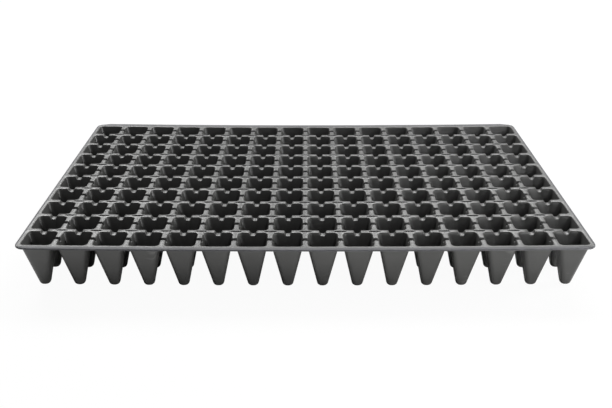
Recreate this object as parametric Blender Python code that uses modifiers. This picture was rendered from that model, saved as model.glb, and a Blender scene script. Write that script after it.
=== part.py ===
"""A seed tray of dark moulded plastic: sixteen columns and ten rows of tapered square cells under a flat deck.

The moulding is divided on the lines midway between its cells. Each node is a run of neighbouring cells of one
row, with the deck around them, and the rim is a node of its own. Lengths are in metres and +Z is up. The cups
stand on z = 0, the front row lies at -Y and the first column at -X.
"""

import math

import bmesh
import bpy
from mathutils import Vector

for thing in list(bpy.data.objects):
    bpy.data.objects.remove(thing)

# The grid of cells, and the number of runs that each row is divided into
COLUMNS = 16
ROWS = 10
RUNS = 4
CELL_PITCH = 0.0372

# One cell, as its inner surface
WEB = 0.0066
CELL_DEPTH = 0.054
FLOOR = 0.009
CORNER_CUT = 0.0045
DRAIN = 0.005
WALL = 0.001

# The channel across the middle of each web, from one cell into the next
NOTCH_WIDTH = 0.0075
NOTCH_DEPTH = 0.0042

# The rim around the deck, which is wider at the front and the back than at the two ends
RIM_ENDS = 0.0024
RIM_FRONT = 0.008
RIM_LIP = 0.0018
RIM_CORNER = 0.012
CORNER_STEPS = 5

# Free space between two neighbouring nodes
SEAM_GAP = 0.0003

MOUTH = CELL_PITCH - WEB
TAPER = (MOUTH - FLOOR) / 2 / (CELL_DEPTH - WALL)
DECK_X = COLUMNS * CELL_PITCH
DECK_Y = ROWS * CELL_PITCH
TINY = 1e-6
ALONG_X = Vector((1, 0, 0))
ALONG_Y = Vector((0, 1, 0))

tray = bpy.data.collections.new("seed_tray")
bpy.context.scene.collection.children.link(tray)


def plastic(name, shade):
    """Dark grey plastic with a soft sheen."""
    material = bpy.data.materials.new(name)
    material.use_nodes = True
    shader = material.node_tree.nodes["Principled BSDF"]
    shader.inputs["Base Color"].default_value = (shade, shade, shade * 1.05, 1)
    shader.inputs["Roughness"].default_value = 0.42
    shader.inputs["Metallic"].default_value = 0.0
    return material


def moulded(sheet, name, shade):
    """Makes a node from its upper surface, thickened downwards to a wall that stands level on z = 0."""
    mesh = bpy.data.meshes.new(name)
    sheet.to_mesh(mesh)
    sheet.free()
    node = bpy.data.objects.new(name, mesh)
    tray.objects.link(node)
    mesh.materials.append(plastic(name, shade))
    wall = node.modifiers.new("wall", "SOLIDIFY")
    wall.thickness = WALL
    wall.offset = -1
    wall.use_even_offset = True
    # Solidify leaves the corners of the undersides a few hundredths of a millimetre high, so they are levelled.
    solid = bpy.data.meshes.new_from_object(node.evaluated_get(bpy.context.evaluated_depsgraph_get()))
    for corner in solid.vertices:
        if corner.co.z < WALL / 2:
            corner.co.z = 0
    node.modifiers.clear()
    node.data = solid
    bpy.data.meshes.remove(mesh)
    solid.name = name


def cut(sheet, faces, point, normal, trim=False):
    """Divides these faces along a plane, and with trim takes away what lies beyond it."""
    edges = {edge for face in faces for edge in face.edges}
    corners = {corner for face in faces for corner in face.verts}
    parts = [*faces, *edges, *corners]
    bmesh.ops.bisect_plane(
        sheet, geom=parts, dist=TINY / 10, plane_co=point, plane_no=normal, clear_outer=trim
    )


def face_at(sheet, point):
    """The face whose centre lies nearest to this point."""
    return min(sheet.faces, key=lambda face: (face.calc_center_median() - point).length)


def deck_around(sheet, middle, reach_x, reach_y):
    """The flat faces of the deck whose centres lie in a rectangle around this point."""
    found = []
    for face in sheet.faces:
        if max(abs(corner.co.z - CELL_DEPTH) for corner in face.verts) < TINY:
            offset = face.calc_center_median() - middle
            if abs(offset.x) < reach_x and abs(offset.y) < reach_y:
                found.append(face)
    return found


def add_cup(sheet, middle):
    """Opens a mouth with cut corners around this point of the deck, with a tapered cup and a drain hole."""
    frame = face_at(sheet, middle)
    bmesh.ops.inset_individual(sheet, faces=[frame], thickness=WEB / 2, use_even_offset=True)
    for side_x in (-1, 1):
        for side_y in (-1, 1):
            out = Vector((side_x, side_y, 0)).normalized()
            cut(sheet, [face_at(sheet, middle)], middle + out * (MOUTH - CORNER_CUT) / math.sqrt(2), out)
    mouth = face_at(sheet, middle)
    floor = bmesh.ops.extrude_discrete_faces(sheet, faces=[mouth])["faces"][0]
    base = middle + Vector((0, 0, WALL - CELL_DEPTH))
    for corner in floor.verts:
        corner.co = base + (corner.co - middle) * FLOOR / MOUTH
    slanting = []
    for edge in floor.edges:
        way = edge.verts[0].co - edge.verts[1].co
        if min(abs(way.x), abs(way.y)) > TINY:
            slanting.append(edge)
    for edge in slanting:
        ends = list(edge.verts)
        way = ends[0].co + ends[1].co - 2 * base
        point = Vector((math.copysign(FLOOR / 2, way.x), math.copysign(FLOOR / 2, way.y), 0))
        bmesh.ops.pointmerge(sheet, verts=ends, merge_co=base + point)
    bmesh.ops.inset_individual(sheet, faces=[floor], thickness=(FLOOR - DRAIN) / 2, use_even_offset=True)
    bmesh.ops.delete(sheet, geom=[floor], context="FACES")


def add_notch(sheet, middle, along):
    """Presses a channel into the web around this point. It runs along this direction, from cell to cell."""
    across = Vector((along.y, along.x, 0))
    reach = along * WEB / 2 + across * MOUTH / 2
    for step in (-1, 0, 1):
        web = deck_around(sheet, middle, reach.x, reach.y)
        cut(sheet, web, middle + across * step * NOTCH_WIDTH / 2, across)
    for corner in sheet.verts:
        offset = corner.co - middle
        distance = offset.dot(along)
        if abs(offset.dot(across)) > TINY or abs(offset.z) > TINY or abs(distance) > WEB / 2 + TINY:
            continue
        corner.co.z -= NOTCH_DEPTH
        if abs(distance) > WEB / 2 - TINY:
            corner.co += along * math.copysign(TAPER * NOTCH_DEPTH, distance)


def column_line(number):
    """The line before this column of cells."""
    return number * CELL_PITCH - DECK_X / 2


def row_line(number):
    """The line before this row of cells."""
    return number * CELL_PITCH - DECK_Y / 2


def add_run(row, first, beyond):
    """A run of cells of one row, from its first column up to the one beyond its last."""
    count = beyond - first
    middle_x = (column_line(first) + column_line(beyond)) / 2
    middle_y = (row_line(row) + row_line(row + 1)) / 2
    cells_x = [column_line(column) + CELL_PITCH / 2 for column in range(first, beyond)]
    sheet = bmesh.new()
    bmesh.ops.create_grid(sheet, x_segments=count, y_segments=1, size=0.5)
    bmesh.ops.scale(sheet, vec=(count * CELL_PITCH, CELL_PITCH, 1), verts=sheet.verts)
    bmesh.ops.translate(sheet, vec=(middle_x, middle_y, CELL_DEPTH), verts=sheet.verts)
    for cell_x in cells_x:
        add_cup(sheet, Vector((cell_x, middle_y, CELL_DEPTH)))
    for line in (row, row + 1):
        if 0 < line < ROWS:
            for cell_x in cells_x:
                add_notch(sheet, Vector((cell_x, row_line(line), CELL_DEPTH)), ALONG_Y)
    for line in range(first, beyond + 1):
        if 0 < line < COLUMNS:
            add_notch(sheet, Vector((column_line(line), middle_y, CELL_DEPTH)), ALONG_X)
    half_x = (count * CELL_PITCH - SEAM_GAP) / 2
    half_y = (CELL_PITCH - SEAM_GAP) / 2
    for corner in sheet.verts:
        corner.co.x = min(max(corner.co.x, middle_x - half_x), middle_x + half_x)
        corner.co.y = min(max(corner.co.y, middle_y - half_y), middle_y + half_y)
    bmesh.ops.dissolve_limit(sheet, angle_limit=0.001, verts=sheet.verts, edges=sheet.edges)
    moulded(sheet, f"row_{row + 1:02d}_cells_{first + 1:02d}_{beyond:02d}", 0.024)


def add_rim():
    """The rim: a flange around the deck with a rounded outline, turned down into a lip."""
    sheet = bmesh.new()
    bmesh.ops.create_grid(sheet, x_segments=1, y_segments=1, size=0.5)
    size = (DECK_X + 2 * RIM_ENDS, DECK_Y + 2 * RIM_FRONT, 1)
    bmesh.ops.scale(sheet, vec=size, verts=sheet.verts)
    bmesh.ops.translate(sheet, vec=(0, 0, CELL_DEPTH), verts=sheet.verts)
    bmesh.ops.bevel(
        sheet,
        geom=list(sheet.verts),
        offset=RIM_CORNER,
        offset_type="OFFSET",
        segments=CORNER_STEPS,
        profile=0.5,
        affect="VERTICES",
        material=-1,
    )
    plate = list(sheet.faces)
    bmesh.ops.inset_individual(sheet, faces=plate, thickness=RIM_ENDS / 2, use_even_offset=True)
    inner = list(plate[0].verts)
    bmesh.ops.delete(sheet, geom=plate, context="FACES_ONLY")
    for corner in inner:
        corner.co.x = math.copysign((DECK_X + SEAM_GAP) / 2, corner.co.x)
        corner.co.y = math.copysign((DECK_Y + SEAM_GAP) / 2, corner.co.y)
    outline = [edge for edge in sheet.edges if edge.is_boundary and not set(edge.verts) & set(inner)]
    lip = bmesh.ops.extrude_edge_only(sheet, edges=outline)["geom"]
    lower = [part for part in lip if isinstance(part, bmesh.types.BMVert)]
    bmesh.ops.translate(sheet, vec=(0, 0, -RIM_LIP), verts=lower)
    bmesh.ops.remove_doubles(sheet, verts=inner, dist=TINY)
    bmesh.ops.recalc_face_normals(sheet, faces=sheet.faces)
    moulded(sheet, "rim", 0.028)


for row in range(ROWS):
    for run in range(RUNS):
        add_run(row, run * COLUMNS // RUNS, (run + 1) * COLUMNS // RUNS)
add_rim()
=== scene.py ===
# %% [markdown]
# # A seed tray of dark moulded plastic
#
# The object is a plug tray for raising seedlings: ten rows of sixteen tapered cells that hang under one
# flat deck, with a narrow rim around it. On the real tray all of this is a single thin sheet of plastic, so
# the lesson models the upper surface of one cell, lays it out a hundred and sixty times and only then gives
# the sheet its thickness.

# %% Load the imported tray
import math

import bmesh
import bpy
from mathutils import Matrix, Vector


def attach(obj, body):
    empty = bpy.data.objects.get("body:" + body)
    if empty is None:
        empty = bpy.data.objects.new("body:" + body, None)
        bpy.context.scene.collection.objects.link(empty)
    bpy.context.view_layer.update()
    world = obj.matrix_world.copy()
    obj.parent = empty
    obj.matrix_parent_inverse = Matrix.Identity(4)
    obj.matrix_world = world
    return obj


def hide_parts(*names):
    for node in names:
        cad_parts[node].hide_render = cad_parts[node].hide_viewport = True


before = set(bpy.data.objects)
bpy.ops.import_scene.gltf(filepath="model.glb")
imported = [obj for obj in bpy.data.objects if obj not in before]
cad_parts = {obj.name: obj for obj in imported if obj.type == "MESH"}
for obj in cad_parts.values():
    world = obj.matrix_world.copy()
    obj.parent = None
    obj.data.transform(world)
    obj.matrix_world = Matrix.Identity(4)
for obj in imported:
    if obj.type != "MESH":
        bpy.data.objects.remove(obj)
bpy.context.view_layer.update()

# %% [markdown]
# ## The sizes of the tray
#
# The grid comes first, because everything else is counted in cells. Their middles stand 37.2 mm apart in
# both directions. All lengths are in metres, with the deck at the top of the cups.

# %% Set the grid
COLUMNS = 16
ROWS = 10
PITCH = 0.0372
DECK = 0.054
WALL = 0.001
HALF_X = COLUMNS * PITCH / 2
HALF_Y = ROWS * PITCH / 2
MM = 0.001
NEAR = MM / 1000
print("deck", round(2 * HALF_X, 4), "by", round(2 * HALF_Y, 4), "m")

# %% [markdown]
# ## The camera
#
# The lines between the cells meet far behind the tray, and their spacing says how far away the camera
# stood: about a metre from the tray's middle and 40 cm above its deck, looking down at about 25 degrees.
# The lens length follows from the width of one cell in the picture.

# %% Place the camera
SENSOR_MM = 36
LENS_MM = 47.62
LOOK_DOWN = 24.88
CAMERA_AT = (0.0008, -0.9225, 0.4452)

eye = bpy.data.cameras.new("camera")
eye.sensor_width = SENSOR_MM
eye.lens = LENS_MM
camera = bpy.data.objects.new("camera", eye)
camera.location = CAMERA_AT
camera.rotation_euler = (math.radians(90 - LOOK_DOWN), 0, 0)
bpy.context.scene.collection.objects.link(camera)
bpy.context.scene.camera = camera
print("camera at", CAMERA_AT)

# %% [markdown]
# ## The rings of a cell
#
# A cell is a stack of rings, from the square that one cell takes up in the deck, over the rounded mouth and
# down the wall to the drain hole. If every ring has its points in the same order, one operator makes the
# whole cup: the face inside a ring is extruded, and the new face's corners move to the next ring.
#
# A ring has points near the middle of each side, where the channels to the neighbouring cells will be
# pressed in, and points around each corner. The channels from column to column are narrower than those from
# row to row, so the points stand closer together on the left and right sides.

# %% Describe the corners of a ring
SIDE_POINTS = [0.0, 1.6 * MM, 2.2 * MM, 2.7 * MM, 3.2 * MM, 3.7 * MM, 4.2 * MM]
NARROW = 0.7
CORNER_STEPS = 6
QUARTER = 2 * len(SIDE_POINTS) - 1 + CORNER_STEPS + 1


def round_corner(half, radius):
    """The points of a rounded corner in the first quarter of a ring."""
    centre = half - radius
    angles = [math.pi / 2 * step / CORNER_STEPS for step in range(CORNER_STEPS + 1)]
    return [(centre + radius * math.cos(angle), centre + radius * math.sin(angle)) for angle in angles]


def square_corner(half, reach):
    """The points of a sharp corner, spaced evenly over this reach on both of its sides."""
    middle = CORNER_STEPS // 2
    falls = [reach * abs(middle - step) / middle for step in range(CORNER_STEPS + 1)]
    return [
        (half, half - fall) if step <= middle else (half - fall, half) for step, fall in enumerate(falls)
    ]


def in_corner(place):
    """Whether this place in a quarter of a ring belongs to its corner."""
    return len(SIDE_POINTS) <= place <= len(SIDE_POINTS) + CORNER_STEPS


print("a corner has", CORNER_STEPS + 1, "points and half a side", len(SIDE_POINTS))

# %% Join the quarters to a ring
def whole_ring(half, corner, squeeze=1.0):
    """All points of a ring, in four quarters that start at the middle of a side."""
    points = []
    for turn in range(4):
        first, second = (NARROW, 1) if turn % 2 == 0 else (1, NARROW)
        quarter = [(half, squeeze * first * away) for away in SIDE_POINTS] + corner
        quarter += [(squeeze * second * away, half) for away in reversed(SIDE_POINTS[1:])]
        for _ in range(turn):
            quarter = [(-y, x) for x, y in quarter]
        points += quarter
    return points


def rounded_ring(half, radius, squeeze=1.0):
    """A ring with rounded corners, and with its side points drawn together by the squeeze."""
    return whole_ring(half, round_corner(half, radius), squeeze)


print("a ring has", 4 * QUARTER, "points")

# %% [markdown]
# ## One cup
#
# The mouth is about 33 mm across and its edge is rounded over, as moulded edges are. The wall then leans in
# by about 12 degrees, so that a plug of soil slides out, and turns through a soft radius into a small
# bottom with a drain hole. In the picture the webs between the columns are a little narrower than those
# between the rows, so every ring from the mouth down is made a little wider than it is long.
#
# Each ring is one extrusion of the face before it. The points carry two numbers along, their place in the
# ring and the number of the ring, because later steps have to find them again.

# %% Size the cup
MOUTH_HALF = 16.4 * MM
MOUTH_CORNER = 5.5 * MM
EDGE_RADIUS = 1.25 * MM
EDGE_STEPS = 3
WALL_LEAN = math.atan(0.216)
WIDER = 1.03
SLIT_REACH = 7.3 * MM


def next_ring(sheet, face, points, depth):
    """Extrudes a face and moves its corners to the points of the next ring."""
    spot = sheet.verts.layers.int["spot"]
    level = sheet.verts.layers.int["level"]
    face = bmesh.ops.extrude_discrete_faces(sheet, faces=[face])["faces"][0]
    for corner in face.verts:
        x, y = points[corner[spot]]
        corner.co = (WIDER * x, y, DECK - depth)
        corner[level] += 1
    return face


print("the walls lean in by", round(math.degrees(WALL_LEAN), 1), "degrees")

# %% Open the mouth
def open_mouth(sheet):
    """Makes one cell's square of the deck and the mouth's rounded edge, and gives the face inside it."""
    spot = sheet.verts.layers.int.new("spot")
    sheet.verts.layers.int.new("level")
    bmesh.ops.create_circle(sheet, cap_ends=True, segments=4 * QUARTER, radius=PITCH)
    sheet.faces.ensure_lookup_table()
    face = sheet.faces[0]
    if face.normal.z < 0:
        bmesh.ops.reverse_faces(sheet, faces=[face])
    square = whole_ring(PITCH / 2, square_corner(PITCH / 2, SLIT_REACH))
    for number, loop in enumerate(face.loops):
        loop.vert[spot] = number
        loop.vert.co = (*square[number], DECK)
    face = next_ring(sheet, face, rounded_ring(MOUTH_HALF, MOUTH_CORNER), 0)
    for step in range(1, EDGE_STEPS + 1):
        turn = (math.pi / 2 - WALL_LEAN) * step / EDGE_STEPS
        cut_in = EDGE_RADIUS * math.sin(turn)
        ring = rounded_ring(MOUTH_HALF - cut_in, MOUTH_CORNER - cut_in)
        face = next_ring(sheet, face, ring, EDGE_RADIUS * (1 - math.cos(turn)))
    return face


trial = bmesh.new()
open_mouth(trial)
print("the mouth:", len(trial.faces), "faces")
trial.free()

# %% [markdown]
# ## The wall and the bottom
#
# The wall needs no rings between the mouth and the bottom, because it is straight. Its side points have
# nothing more to do lower down, so their edges are dissolved there, which saves about a third of the faces.
# The bottom curves in over a few steps, and the last ring is the round drain hole. The photograph doesn't
# show the hole, but such cells have one.

# %% Describe the rings of the bottom
FLOOR_DEPTH = 53 * MM
FLOOR_RADIUS = 2.9 * MM
FLOOR_HALF = 2.0 * MM
FLOOR_TURN = math.radians(75)
FLOOR_STEPS = 3
FLOOR_ROUND = 0.85
LOW_SQUEEZE = 0.15
DRAIN_RADIUS = 1.9 * MM


def bottom_ring(turn, squeeze=1.0):
    """A ring on the bottom's radius and its depth, for a turn between the wall's lean and the floor's."""
    half = FLOOR_HALF + FLOOR_RADIUS * math.cos(turn)
    depth = FLOOR_DEPTH - FLOOR_RADIUS * (1 - math.sin(turn))
    return rounded_ring(half, FLOOR_ROUND * half, squeeze), depth


def drain_ring():
    """The drain hole, with the points of each corner spread over a quarter of a circle."""
    points = []
    for number in range(4 * QUARTER):
        place = number % QUARTER - len(SIDE_POINTS)
        angle = math.pi / 2 * (number // QUARTER + (place + 0.5) / (CORNER_STEPS + 1))
        points.append((DRAIN_RADIUS * math.cos(angle), DRAIN_RADIUS * math.sin(angle)))
    return points


print("a drain hole", round(2 * DRAIN_RADIUS / MM, 1), "mm across")

# %% Close the bottom
def close_bottom(sheet, face):
    """The wall below this face, the rounded bottom and the drain hole."""
    spot = sheet.verts.layers.int["spot"]
    face = next_ring(sheet, face, *bottom_ring(WALL_LEAN, LOW_SQUEEZE))
    half_way = DECK - FLOOR_DEPTH / 2
    spare = []
    for edge in sheet.edges:
        on_wall = len({corner.co.z < half_way for corner in edge.verts}) == 2
        if on_wall and not in_corner(edge.verts[0][spot] % QUARTER):
            spare.append(edge)
    bmesh.ops.dissolve_edges(sheet, edges=spare, use_verts=True)
    for step in range(1, FLOOR_STEPS + 1):
        turn = WALL_LEAN + (FLOOR_TURN - WALL_LEAN) * step / FLOOR_STEPS
        face = next_ring(sheet, face, *bottom_ring(turn))
    face = next_ring(sheet, face, drain_ring(), FLOOR_DEPTH)
    bmesh.ops.delete(sheet, geom=[face], context="FACES")


def cell_sheet():
    """The upper surface of one cell around the origin, from the deck to the drain hole."""
    sheet = bmesh.new()
    close_bottom(sheet, open_mouth(sheet))
    return sheet


trial = cell_sheet()
print("one cell:", len(trial.faces), "faces,", len(trial.verts), "points")
trial.free()

# %% [markdown]
# ## The channels
#
# Across the middle of each web, a shallow channel runs from one cell into the next, probably so that water
# spreads evenly. It is pressed into the finished rings: the points near the middle of a side sink along a
# soft curve, and those on the wall also move in, so that they stay on its slope. The cells along the rim
# have no channel on their outer side.

# %% Press the channels
CHANNEL_DEPTH = 3.8 * MM
CHANNEL_CURVE = [1.0, 0.97, 0.88, 0.68, 0.4, 0.14, 0.0]
SIDES = ["right", "back", "left", "front"]
LAST_EDGE_LEVEL = 1 + EDGE_STEPS


def press_channels(sheet, neighbours):
    """Sinks the middle of each side that has a neighbour."""
    spot = sheet.verts.layers.int["spot"]
    level = sheet.verts.layers.int["level"]
    for point in sheet.verts:
        turn, place = divmod(point[spot], QUARTER)
        if point[level] > LAST_EDGE_LEVEL or in_corner(place):
            continue
        if place > len(SIDE_POINTS):
            turn = (turn + 1) % 4
        if SIDES[turn] not in neighbours:
            continue
        out = Vector((math.cos(math.pi / 2 * turn), math.sin(math.pi / 2 * turn), 0))
        step = place if place < len(SIDE_POINTS) else QUARTER - place
        drop = CHANNEL_DEPTH * CHANNEL_CURVE[step]
        point.co.z -= drop
        if point[level] > 0:
            point.co -= out * drop * math.tan(WALL_LEAN)


print("channels", round(CHANNEL_DEPTH / MM, 1), "mm deep")

# %% [markdown]
# ## The slits
#
# Where four cells meet, the web has a lens-shaped slit, probably so that water runs off the deck. The edge
# of the cell's own square simply draws back there, and the neighbour does the same, so nothing has to be
# cut.

# %% Open the slits
SLIT_HALF = 1.5 * MM
SLIT_POWER = 4


def open_slits(sheet, neighbours):
    """Opens a slit at each crossing of two webs."""
    spot = sheet.verts.layers.int["spot"]
    level = sheet.verts.layers.int["level"]
    half = PITCH / 2
    for point in sheet.verts:
        turn, place = divmod(point[spot], QUARTER)
        if point[level] > 0 or not in_corner(place) or abs(point.co.y) < half - NEAR:
            continue
        if SIDES[turn] in neighbours and SIDES[(turn + 1) % 4] in neighbours:
            away = (half - abs(point.co.x)) / SLIT_REACH
            point.co.y -= math.copysign(SLIT_HALF * (1 - away**SLIT_POWER), point.co.y)


def shaped_cell(neighbours):
    """The sheet of a cell with neighbours on these sides, as a mesh."""
    sheet = cell_sheet()
    open_slits(sheet, neighbours)
    press_channels(sheet, neighbours)
    mesh = bpy.data.meshes.new("cell " + " ".join(sorted(neighbours)))
    sheet.to_mesh(mesh)
    sheet.free()
    return mesh


print("slits", round(2 * SLIT_HALF / MM, 1), "mm wide")

# %% [markdown]
# ## The rows
#
# A row is sixteen cells side by side. Cells in the middle of the tray are all alike, so each kind is
# modelled once and its mesh is added at every place where it is needed. Merging the doubled points along
# the shared edges turns the copies into one sheet.

# %% Lay out the rows
kinds = {}
row_sheets = []
for row in range(ROWS):
    sheet = bmesh.new()
    for column in range(COLUMNS):
        at_side = {
            "left": column == 0,
            "right": column == COLUMNS - 1,
            "front": row == 0,
            "back": row == ROWS - 1,
        }
        neighbours = frozenset(side for side in SIDES if not at_side[side])
        if neighbours not in kinds:
            kinds[neighbours] = shaped_cell(neighbours)
        cell = kinds[neighbours]
        place = Matrix.Translation(((column + 0.5) * PITCH - HALF_X, (row + 0.5) * PITCH - HALF_Y, 0))
        cell.transform(place)
        sheet.from_mesh(cell)
        cell.transform(place.inverted())
    bmesh.ops.remove_doubles(sheet, verts=sheet.verts, dist=NEAR)
    row_sheets.append(sheet)
print(len(kinds), "kinds of cell,", sum(len(sheet.faces) for sheet in row_sheets), "faces in the rows")

# %% [markdown]
# ## The rim
#
# Around the deck the sheet runs on as a rim: about two millimetres wide at the two ends, five at the front
# and nine at the back, where the corners are rounder too. Its edge is rolled over, which stiffens it. The
# rim starts from the very edges that the outer cells leave open, so that the two meet point by point. These
# edges are found on a copy of the rows, and everything else on it is deleted.

# %% Find the edge of the deck
rim_sheet = bmesh.new()
for sheet in row_sheets:
    whole = bpy.data.meshes.new("row")
    sheet.to_mesh(whole)
    rim_sheet.from_mesh(whole)
    bpy.data.meshes.remove(whole)
bmesh.ops.remove_doubles(rim_sheet, verts=rim_sheet.verts, dist=NEAR)


def on_edge(edge):
    """Whether an edge lies along the outside of the deck."""
    middle = (edge.verts[0].co + edge.verts[1].co) / 2
    return edge.is_boundary and (abs(middle.x) > HALF_X - MM or abs(middle.y) > HALF_Y - MM)


kept = {point for edge in rim_sheet.edges if on_edge(edge) for point in edge.verts}
bmesh.ops.delete(rim_sheet, geom=[point for point in rim_sheet.verts if point not in kept], context="VERTS")
bmesh.ops.delete(rim_sheet, geom=rim_sheet.faces[:], context="FACES_ONLY")
print("the rim starts from", len(rim_sheet.verts), "points")

# %% [markdown]
# ## The rim's profile
#
# The edges are extruded once for each step of the profile. Each step is a share of the way out to the rim's
# rounded outline, with a drop in millimetres: flat for the first half, then rolled down to the lip. In the
# picture this shows as a bright band on top and a darker one below it.

# %% Describe the rim
RIM_ENDS = 2.4 * MM
RIM_FRONT = 5.4 * MM
RIM_BACK = 9.5 * MM
FRONT_CORNER = 12 * MM
BACK_CORNER = 16 * MM
RIM_PROFILE = [(0.55, 0.0), (0.72, 0.12), (0.86, 0.4), (0.95, 0.8), (0.99, 1.2), (1.0, 1.55)]


def way_out(place):
    """The way from a point on the edge of the deck to the rim's rounded outline."""
    width, radius = (RIM_BACK, BACK_CORNER) if place.y > 0 else (RIM_FRONT, FRONT_CORNER)
    inner_x = HALF_X + RIM_ENDS - radius
    inner_y = HALF_Y + width - radius
    core = Vector((min(max(place.x, -inner_x), inner_x), min(max(place.y, -inner_y), inner_y), place.z))
    return core + (place - core).normalized() * radius - place


print("the rim's profile has", len(RIM_PROFILE), "steps")

# %% Extrude the rim
number = rim_sheet.verts.layers.int["spot"]
level = rim_sheet.verts.layers.int["level"]
starts = []
for point in rim_sheet.verts:
    point[number] = len(starts)
    starts.append((point.co.copy(), way_out(point.co)))
edges = rim_sheet.edges[:]
for step, (share, drop) in enumerate(RIM_PROFILE, 1):
    made = bmesh.ops.extrude_edge_only(rim_sheet, edges=edges)["geom"]
    points = {part for part in made if isinstance(part, bmesh.types.BMVert)}
    edges = [
        part for part in made if isinstance(part, bmesh.types.BMEdge) and points.issuperset(part.verts)
    ]
    for point in points:
        start, way = starts[point[number]]
        point.co = start + way * share - Vector((0, 0, drop * MM))
        point[level] = step
bmesh.ops.recalc_face_normals(rim_sheet, faces=rim_sheet.faces)
if max(rim_sheet.faces, key=lambda face: face.calc_center_median().z).normal.z < 0:
    bmesh.ops.reverse_faces(rim_sheet, faces=rim_sheet.faces)
print("the rim has", len(rim_sheet.faces), "faces")

# %% [markdown]
# ## Thickness
#
# So far everything is the sheet's upper surface. The solidify operator adds the lower surface a wall's
# thickness away, and joins the two around the drain holes, along the slits and at the outer edge. Each row
# becomes one piece, and the rim another. They are shaded smooth, apart from the cut edges, where the
# surface turns sharply. The rounded edges get a mark of their own here, while each point still knows its
# ring, and the plastic reads it later as a paler shade that is partly wear and partly a painted highlight.
#
# A tray this thin is never quite straight. In the picture both ends stand about two millimetres higher than
# the middle, so every sheet is bent by that much first.

# %% Prepare the wall
SHARP = math.radians(50)
BOW = 2.2 * MM


def finish_piece(sheet, name, wear_and_highlight_levels, *nodes):
    """Bends and thickens a sheet to a closed wall and makes it the piece that stands for these nodes."""
    # The mark paints these rings paler: partly wear, partly a painted highlight on the rounded edges.
    wear_and_highlight = sheet.verts.layers.float.new("wear_and_highlight")
    level = sheet.verts.layers.int["level"]
    for point in sheet.verts:
        point[wear_and_highlight] = float(point[level] in wear_and_highlight_levels)
        point.co.z += BOW * (point.co.x / HALF_X) ** 2
    bmesh.ops.solidify(sheet, geom=sheet.faces[:], thickness=WALL)
    for face in sheet.faces:
        face.smooth = True
    mesh = bpy.data.meshes.new(name)
    sheet.to_mesh(mesh)
    sheet.free()
    for layer in ("spot", "level"):
        mesh.attributes.remove(mesh.attributes[layer])
    mesh.set_sharp_from_angle(angle=SHARP)
    piece = bpy.data.objects.new(name, mesh)
    bpy.context.scene.collection.objects.link(piece)
    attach(piece, "root")
    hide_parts(*nodes)
    return piece


print("a wall of", round(WALL / MM, 1), "mm, bent up by", round(BOW / MM, 1), "mm at the ends")

# %% Make the rows and the rim
# Rings painted paler on the mouths and the rim: partly wear, partly a painted highlight where edges catch
# the light.
MOUTH_WEAR_AND_HIGHLIGHT = (1, 2, 3)
LIP_WEAR_AND_HIGHLIGHT = (2, 3)

rows = []
for row, sheet in enumerate(row_sheets, 1):
    nodes = [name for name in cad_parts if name.startswith(f"row_{row:02d}_")]
    piece = finish_piece(sheet, f"cell_row_{row:02d}", MOUTH_WEAR_AND_HIGHLIGHT, *nodes)
    rows.append(piece)
rim = finish_piece(rim_sheet, "rolled_rim", LIP_WEAR_AND_HIGHLIGHT, "rim")
for cell in kinds.values():
    bpy.data.meshes.remove(cell)
print(len(rows), "rows and a rim,", sum(len(piece.data.polygons) for piece in [*rows, rim]), "faces")

# %% [markdown]
# ## A short way to write nodes
#
# A material is a net of nodes, and so is the world. Written out, every node takes several lines, so a small
# class keeps the net and adds nodes to it. A socket is given either a plain value, which is set on it, or
# another node's output, which is linked to it.

# %% Shorten the making of nodes
class Nodes:
    """The nodes of a material or the world, with short ways to add and link them."""

    def __init__(self, owner):
        self.tree = owner.node_tree

    def add(self, kind, sockets=(), **settings):
        node = self.tree.nodes.new(kind)
        for name, value in settings.items():
            setattr(node, name, value)
        for name, value in dict(sockets).items():
            self.set(node, name, value)
        return node

    def set(self, node, name, value):
        if isinstance(value, bpy.types.NodeSocket):
            self.tree.links.new(value, node.inputs[name])
        else:
            node.inputs[name].default_value = value

    def noise(self, place, scale, detail=2.0):
        sockets = {"Vector": place, "Scale": scale, "Detail": detail}
        return self.add("ShaderNodeTexNoise", sockets).outputs["Fac"]

    def spread(self, value, low, high, to_low=0.0, to_high=1.0):
        """Maps the range from low to high of a value to another range, and stays inside that."""
        node = self.add("ShaderNodeMapRange", {0: value, 1: low, 2: high, 3: to_low, 4: to_high})
        return node.outputs[0]

    def times(self, first, second):
        return self.add("ShaderNodeMath", {0: first, 1: second}, operation="MULTIPLY").outputs[0]

    def larger(self, first, second):
        return self.add("ShaderNodeMath", {0: first, 1: second}, operation="MAXIMUM").outputs[0]

    def mix(self, share, first, second):
        node = self.add("ShaderNodeMix", {0: share, 6: first, 7: second}, data_type="RGBA")
        return node.outputs[2]


print("nodes are added through", Nodes.__name__)

# %% [markdown]
# ## The plastic
#
# Trays like this are drawn from recycled plastic sheet: charcoal, never quite even in colour, with a fine
# grain from the mould, cloudy patches of gloss, thin scuffs where trays were stacked into each other, and a
# paler touch on the edges of the mouths and the rim, which is partly wear and partly a painted highlight
# where the rounded edges catch the light. All of it comes from noise on object coordinates, which is the
# same on every piece, so nothing breaks off where one row ends and the next begins. The edges are the
# exception: they were marked while the sheet still knew its rings. The rim is painted a little paler than
# the cells, which is painted light for its brighter band and lip on what is one sheet, and it is bluer and
# more matt.

# %% Mix the plastic
MOTTLE_SCALE = 14
MOTTLE_RANGE = (0.35, 0.65)
SCUFF_TURN = (0, 0, 0.5)
SCUFF_STRETCH = (40, 700, 60)
SCUFF_RANGE = (0.62, 0.72)
PATCH_SCALE = 22
PATCH_RANGE = (0.5, 0.62, 0, 0.6)
# Noise that breaks up the paler edges, which are partly wear and partly a painted highlight.
RUB_AND_HIGHLIGHT_SCALE = 160
RUB_AND_HIGHLIGHT_RANGE = (0.4, 0.62, 0.15, 0.8)
CLOUD_SCALE = 30
CLOUD_RANGE = (0.3, 0.7)
GRAIN_STRENGTH = 0.2
GRAIN_DEPTH = 0.2 * MM


def charcoal(shade, tint):
    """A grey of this brightness, with more or less blue by this factor."""
    return (shade, shade, tint * shade, 1)


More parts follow.
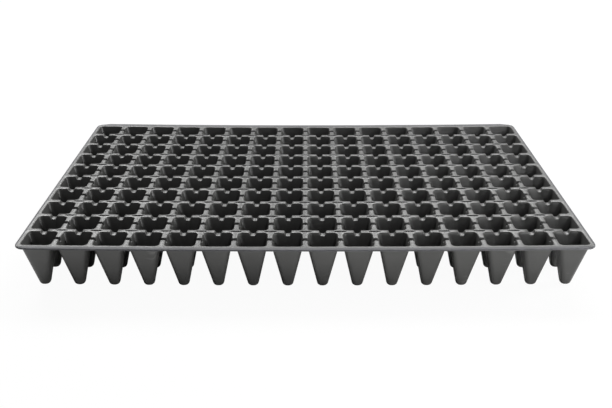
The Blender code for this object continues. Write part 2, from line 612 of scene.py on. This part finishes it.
def tray_plastic(name, grain, shades, gloss):
    """Charcoal plastic with grain of this size, scuffs and edges paler from wear and a painted highlight,
    in these shades and roughnesses.
    """
    dark, pale, scuffed, wear_and_highlight = [
        charcoal(shades[part], shades["blue"]) for part in ("dark", "pale", "scuffed", "wear_and_highlight")
    ]
    plastic = bpy.data.materials.new(name)
    plastic.use_nodes = True
    nodes = Nodes(plastic)
    shader = nodes.tree.nodes["Principled BSDF"]
    place = nodes.add("ShaderNodeTexCoord").outputs["Object"]
    colour = nodes.mix(nodes.spread(nodes.noise(place, MOTTLE_SCALE, 4), *MOTTLE_RANGE), dark, pale)
    turn = {"Vector": place, "Rotation": SCUFF_TURN, "Scale": SCUFF_STRETCH}
    turned = nodes.add("ShaderNodeMapping", turn).outputs[0]
    lines = nodes.spread(nodes.noise(turned, 1, 3), *SCUFF_RANGE)
    patches = nodes.spread(nodes.noise(place, PATCH_SCALE, 2), *PATCH_RANGE)
    colour = nodes.mix(nodes.times(lines, patches), colour, scuffed)
    # Marked edges are painted paler: partly wear, partly a painted highlight.
    edges = nodes.add("ShaderNodeAttribute", attribute_name="wear_and_highlight").outputs["Fac"]
    rub_and_highlight = nodes.spread(nodes.noise(place, RUB_AND_HIGHLIGHT_SCALE, 3), *RUB_AND_HIGHLIGHT_RANGE)
    nodes.set(shader, "Base Color", nodes.mix(nodes.times(edges, rub_and_highlight), colour, wear_and_highlight))
    clouds = nodes.noise(place, CLOUD_SCALE, 4)
    nodes.set(shader, "Roughness", nodes.spread(clouds, *CLOUD_RANGE, *gloss))
    relief = {"Height": nodes.noise(place, grain, 2), "Strength": GRAIN_STRENGTH, "Distance": GRAIN_DEPTH}
    nodes.set(shader, "Normal", nodes.add("ShaderNodeBump", relief).outputs[0])
    return plastic


print("grain up to", round(GRAIN_DEPTH / MM, 1), "mm high")

# %% Give the pieces their plastic
# The edge shade in these tables is partly wear and partly a painted highlight.
CELL_SHADES = {"dark": 0.028, "pale": 0.042, "scuffed": 0.09, "wear_and_highlight": 0.07, "blue": 0.96}
CELL_GRAIN = 1500
CELL_GLOSS = (0.36, 0.46)
# The rim's shades are paler than the cells': painted light for the brighter band and lip of one and the
# same sheet.
RIM_SHADES_PAINTED_PALER = {"dark": 0.036, "pale": 0.05, "scuffed": 0.09, "wear_and_highlight": 0.078, "blue": 1.1}
RIM_GRAIN = 1100
RIM_GLOSS = (0.62, 0.7)

cell_plastic = tray_plastic("cell plastic", CELL_GRAIN, CELL_SHADES, CELL_GLOSS)
# The rim gets a paler copy of the plastic, painted light for its brighter band and lip; the blue tint is
# its colour.
rim_plastic = tray_plastic("rim plastic", RIM_GRAIN, RIM_SHADES_PAINTED_PALER, RIM_GLOSS)
for piece in rows:
    piece.data.materials.append(cell_plastic)
rim.data.materials.append(rim_plastic)
print(len(cell_plastic.node_tree.nodes), "nodes in the plastic")

# %% [markdown]
# ## The floor
#
# The picture has a pure white ground. The floor is one plain sheet at the height of the cups' feet, and so
# large that its edges lie outside the picture.

# %% Lay the floor
FLOOR_REACH = 6

floor_mesh = bpy.data.meshes.new("floor")
sheet = bmesh.new()
bmesh.ops.create_grid(sheet, x_segments=1, y_segments=1, size=FLOOR_REACH)
sheet.to_mesh(floor_mesh)
sheet.free()
floor = bpy.data.objects.new("floor", floor_mesh)
bpy.context.scene.collection.objects.link(floor)
print("a floor", 2 * FLOOR_REACH, "m wide")

# %% [markdown]
# ## The floor's paint
#
# A floor that is only painted white would need so much light that the tray would wash out, so the camera
# sees mostly a plain white glow, mixed with some of the painted floor, which keeps the tray's shadow.
# Reflections in the plastic see the glow too. Under the tray the floor is left in its real shade: a glow
# there would shine up through the slits and show in the cups. Between the cups of the first rows the camera
# still looks onto white ground. The glow lights nothing: only mirrored rays and the camera meet it.

# %% Paint the floor
WHITE = (1, 1, 1, 1)
GLOW_SHARE = 0.95
FLOOR_SHADE = (0.85, 0.85, 0.85, 1)
SHADED = (HALF_X - PITCH / 3, HALF_Y - PITCH / 3, 0)
SHADE_EDGE = 0.03
OPEN_ROWS = 3

white_floor = bpy.data.materials.new("white floor")
white_floor.use_nodes = True
paint = Nodes(white_floor)
place = paint.add("ShaderNodeTexCoord").outputs["Object"]


def ground_around(place, half):
    """A share that is 0 on the floor inside this rectangle and rises to 1 over a soft edge around it."""
    away = paint.add("ShaderNodeVectorMath", {0: place}, operation="ABSOLUTE").outputs[0]
    away = paint.add("ShaderNodeVectorMath", {0: away, 1: half}, operation="SUBTRACT").outputs[0]
    away = paint.add("ShaderNodeVectorMath", {0: away, 1: (0, 0, 0)}, operation="MAXIMUM").outputs[0]
    away = paint.add("ShaderNodeVectorMath", {0: away}, operation="LENGTH").outputs["Value"]
    return paint.spread(away, 0, SHADE_EDGE)


path = paint.add("ShaderNodeLightPath")
mirrored = paint.larger(path.outputs["Is Glossy Ray"], path.outputs["Is Transmission Ray"])
mirrored = paint.times(mirrored, ground_around(place, SHADED))
back = paint.add("ShaderNodeMapping", {"Vector": place, "Location": (0, -OPEN_ROWS * PITCH / 2, 0)})
back_half = (SHADED[0], SHADED[1] - OPEN_ROWS * PITCH / 2, 0)
direct = paint.times(path.outputs["Is Camera Ray"], ground_around(back.outputs[0], back_half))
share = paint.times(paint.larger(direct, mirrored), GLOW_SHARE)
flat = paint.add("ShaderNodeBsdfDiffuse", {"Color": FLOOR_SHADE}).outputs[0]
glow = paint.add("ShaderNodeEmission", {"Color": WHITE, "Strength": 1.0}).outputs[0]
both = paint.add("ShaderNodeMixShader", {0: share, 1: flat, 2: glow})
paint.set(paint.tree.nodes["Material Output"], "Surface", both.outputs[0])
paint.tree.nodes.remove(paint.tree.nodes["Principled BSDF"])
floor_mesh.materials.append(white_floor)
print("the floor glows to the camera by", GLOW_SHARE)

# %% [markdown]
# ## The lamps
#
# The deck shines because it reflects something bright behind the tray, and more so towards its two ends, so
# two broad lights stand high behind it, above the picture. One at the right lights the left walls inside
# the cells. The cells' back walls are black at the left of the tray and grey at the right, so a small lamp
# with a narrower beam stands at the front right.
#
# The outsides of the cups are lit by the white ground in front of them, which throws light up from below
# without reaching into a cell. A lamp that lies on the floor and faces up does the same, and a small low
# one at the right makes the cups there paler. None of the lamps shows itself to the camera.

# %% Set the lamps
def lamp(name, place, aim, size, watts, beam=180):
    """A soft rectangular lamp at a place, turned to its aim, with a beam of this many degrees."""
    light = bpy.data.lights.new(name, "AREA")
    light.shape = "RECTANGLE"
    light.size, light.size_y = size
    light.energy = watts
    light.spread = math.radians(beam)
    thing = bpy.data.objects.new(name, light)
    thing.location = place
    thing.rotation_euler = (Vector(aim) - Vector(place)).to_track_quat("-Z", "Y").to_euler()
    thing.visible_camera = False
    bpy.context.scene.collection.objects.link(thing)
    return thing


lamps = [
    lamp("back left light", (-0.78, 1.25, 1.42), (-0.1, 0, 0.05), size=(1.1, 0.8), watts=41),
    lamp("back right light", (0.52, 1.25, 1.42), (0.1, 0, 0.05), size=(1.1, 0.8), watts=36),
    lamp("side light", (1.35, 0, 0.54), (0, 0, 0.05), size=(0.5, 0.4), watts=12),
    lamp(
        "front right light", (0.52, -0.55, 0.32), (0.28, -0.05, 0.05), size=(0.2, 0.2), watts=0.18, beam=75
    ),
    lamp("ground light", (0.1, -0.6, 0.004), (0.1, -0.6, 1), size=(1.7, 0.7), watts=4.7),
    lamp("low right light", (0.52, -0.8, 0.07), (0.28, -0.19, 0.03), size=(0.4, 0.12), watts=4.6),
]
print(len(lamps), "lamps")

# %% [markdown]
# ## The world
#
# The world fills in the rest. It is white to the camera, pale around the horizon in reflections, like a
# backdrop that stands some way off, and dim overhead, so that the cells stay dark.

# %% Light the world
AMBIENT = 0.09
BACKDROP = 0.45
BACKDROP_TOP = (0.4, 0.6)

studio = bpy.data.worlds.new("white studio")
studio.use_nodes = True
bpy.context.scene.world = studio
sky = Nodes(studio)
path = sky.add("ShaderNodeLightPath")
mirrored = sky.larger(path.outputs["Is Glossy Ray"], path.outputs["Is Transmission Ray"])
way = sky.add("ShaderNodeTexCoord").outputs["Generated"]
height = sky.add("ShaderNodeSeparateXYZ", {0: way}).outputs["Z"]
backdrop = sky.times(mirrored, sky.spread(height, *BACKDROP_TOP, BACKDROP, 0))
seen = sky.larger(path.outputs["Is Camera Ray"], backdrop)
background = sky.tree.nodes["Background"]
background.inputs["Color"].default_value = WHITE
sky.set(background, "Strength", sky.spread(seen, 0, 1, AMBIENT, 1))
print("a world of", AMBIENT, "with a white backdrop")

# %% [markdown]
# ## Finish
#
# The last cell sets the render's view transform to Standard.

# %% Set the view transform
bpy.context.scene.view_settings.view_transform = "Standard"
